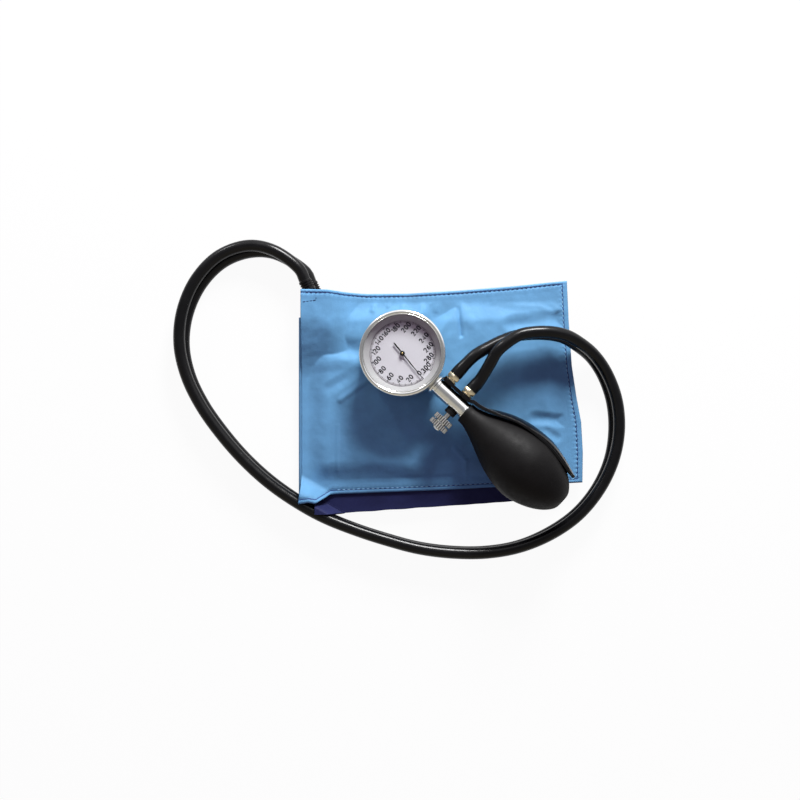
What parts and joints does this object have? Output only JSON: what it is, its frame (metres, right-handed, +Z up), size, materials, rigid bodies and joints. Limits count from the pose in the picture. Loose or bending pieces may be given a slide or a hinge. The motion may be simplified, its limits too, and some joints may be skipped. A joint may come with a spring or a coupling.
{
  "type": "palm aneroid blood pressure gauge with folded arm cuff",
  "caption": "Folded blue arm cuff with palm dial gauge, black squeeze bulb and lever, knurled release valve and a looped pair of rubber hoses.",
  "frame": {"origin": "centre of the box round the folded cuff and the head, hoses left out, on the surface that the cuff lies on", "axes": "+X towards the right edge of the folded cuff, +Y towards the edge where the hoses enter, +Z up"},
  "size_m": [0.3211, 0.2269, 0.0616],
  "materials": {
    "cover_fabric": "satin woven nylon, sky blue",
    "lining_fabric": "navy woven nylon",
    "hook_tape": "black hook tape",
    "loop_tape": "dark loop pile",
    "bladder_rubber": "matt black",
    "hose_rubber": "semi-gloss black",
    "bulb_rubber": "fine matt grain, black",
    "seal_rubber": "matt black",
    "valve_rubber": "red-brown",
    "fitting_brass": "nickel-washed brass",
    "chrome": "polished",
    "steel": "turned",
    "movement_brass": "lacquered",
    "capsule_metal": "rolled",
    "case_metal": "satin plated",
    "lever_plastic": "gloss black",
    "black_plastic": "matt black",
    "dial_white": "matt white print ground",
    "rim_grey": "satin pale grey",
    "pointer_black": "matt black",
    "lens_clear": "clear"
  },
  "bodies": {
    "cuff_and_head": {"cuff_outer_sheet": "cover_fabric", "cuff_inner_sheet": "lining_fabric", "cuff_middle_layer": "lining_fabric", "cuff_bottom_layer": "lining_fabric", "hook_patch": "hook_tape", "loop_patch": "loop_tape", "bladder": "bladder_rubber", "bladder_neck": "bladder_rubber", "bladder_port_a": "hose_rubber", "bladder_port_b": "hose_rubber", "hose_a": "hose_rubber", "hose_b": "hose_rubber", "hose_fitting_a": "fitting_brass", "hose_fitting_b": "fitting_brass", "fitting_seals": "seal_rubber", "palm_lever": "lever_plastic", "valve_body": "chrome", "outlet_seat": "movement_brass", "outlet_cage": "movement_brass", "valve_bonnet": "black_plastic", "bonnet_seal": "seal_rubber", "squeeze_bulb": "bulb_rubber", "inlet_housing": "steel", "inlet_retainer": "steel", "inlet_filter": "steel", "stem_collar": "chrome", "gauge_case": "case_metal", "gauge_inlet_block": "movement_brass", "capsule_tube": "movement_brass", "capsule_base": "movement_brass", "pressure_capsule": "capsule_metal", "frame_posts": "movement_brass", "base_plate": "movement_brass", "top_plate": "movement_brass", "plate_pillars": "movement_brass", "plate_screws": "steel", "pinion_bridge": "movement_brass", "shaft_brackets": "movement_brass", "hairspring": "steel", "spring_anchor": "movement_brass", "dial": "dial_white", "dial_rim": "rim_grey", "bezel_gasket": "seal_rubber", "lens": "lens_clear", "bezel": "chrome"},
    "plug": {"valve_plug": "valve_rubber"},
    "knob": {"release_screw": "steel", "release_knob": "chrome", "knob_cap": "chrome"},
    "pointer_set": {"pinion": "movement_brass", "pinion_arbor": "steel", "pointer": "pointer_black", "pointer_hub": "movement_brass"},
    "sector": {"sector_gear": "movement_brass", "sector_arbor": "steel"},
    "rocker": {"rocking_shaft": "steel"},
    "post": {"capsule_post": "steel"},
    "outlet_flap": {"outlet_disc": "valve_rubber"},
    "inlet_flap": {"inlet_disc": "valve_rubber"}
  },
  "joints": [
    {"name": "release_valve_travel", "type": "slide", "parent": "cuff_and_head", "child": "plug", "axis": [-0.6769, -0.7361, 0], "range_m": [-0.0006, 0.0012]},
    {"name": "release_knob_turn", "type": "hinge", "parent": "plug", "child": "knob", "pos_m": [0.00177, -0.01457, 0.03236], "axis": [-0.6769, -0.7361, 0], "range_deg": [-274, 544]},
    {"name": "sector_swing", "type": "hinge", "parent": "cuff_and_head", "child": "sector", "pos_m": [-0.03548, 0.01592, 0.03165], "axis": [-0.0568, 0.0522, 0.997], "range_deg": [0, 42.6], "deforming": ["hairspring"]},
    {"name": "pointer_turn", "type": "hinge", "parent": "cuff_and_head", "child": "pointer_set", "pos_m": [-0.02754, 0.03004, 0.03137], "axis": [-0.0568, 0.0522, 0.997], "range_deg": [-341, 0]},
    {"name": "rocker_tilt", "type": "hinge", "parent": "cuff_and_head", "child": "rocker", "pos_m": [-0.02566, 0.02831, 0.02946], "axis": [0.6769, 0.7361, 0], "range_deg": [0, 30]},
    {"name": "capsule_rise", "type": "slide", "parent": "cuff_and_head", "child": "post", "axis": [-0.0568, 0.0522, 0.997], "range_m": [0, 0.00096], "deforming": ["pressure_capsule"]},
    {"name": "outlet_flap_lift", "type": "slide", "parent": "cuff_and_head", "child": "outlet_flap", "axis": [-0.7339, 0.6749, -0.0771], "range_m": [0, 0.001]},
    {"name": "inlet_flap_lift", "type": "slide", "parent": "cuff_and_head", "child": "inlet_flap", "axis": [-0.7339, 0.6749, -0.0771], "range_m": [0, 0.001]}
  ],
  "couplings": [
    {"joint": "release_knob_turn", "follows": "release_valve_travel", "rad_per_m": 7854},
    {"joint": "pointer_turn", "follows": "sector_swing", "ratio": -8},
    {"joint": "rocker_tilt", "follows": "sector_swing", "ratio": 0.7},
    {"joint": "capsule_rise", "follows": "sector_swing", "m_per_rad": 0.00128}
  ]
}
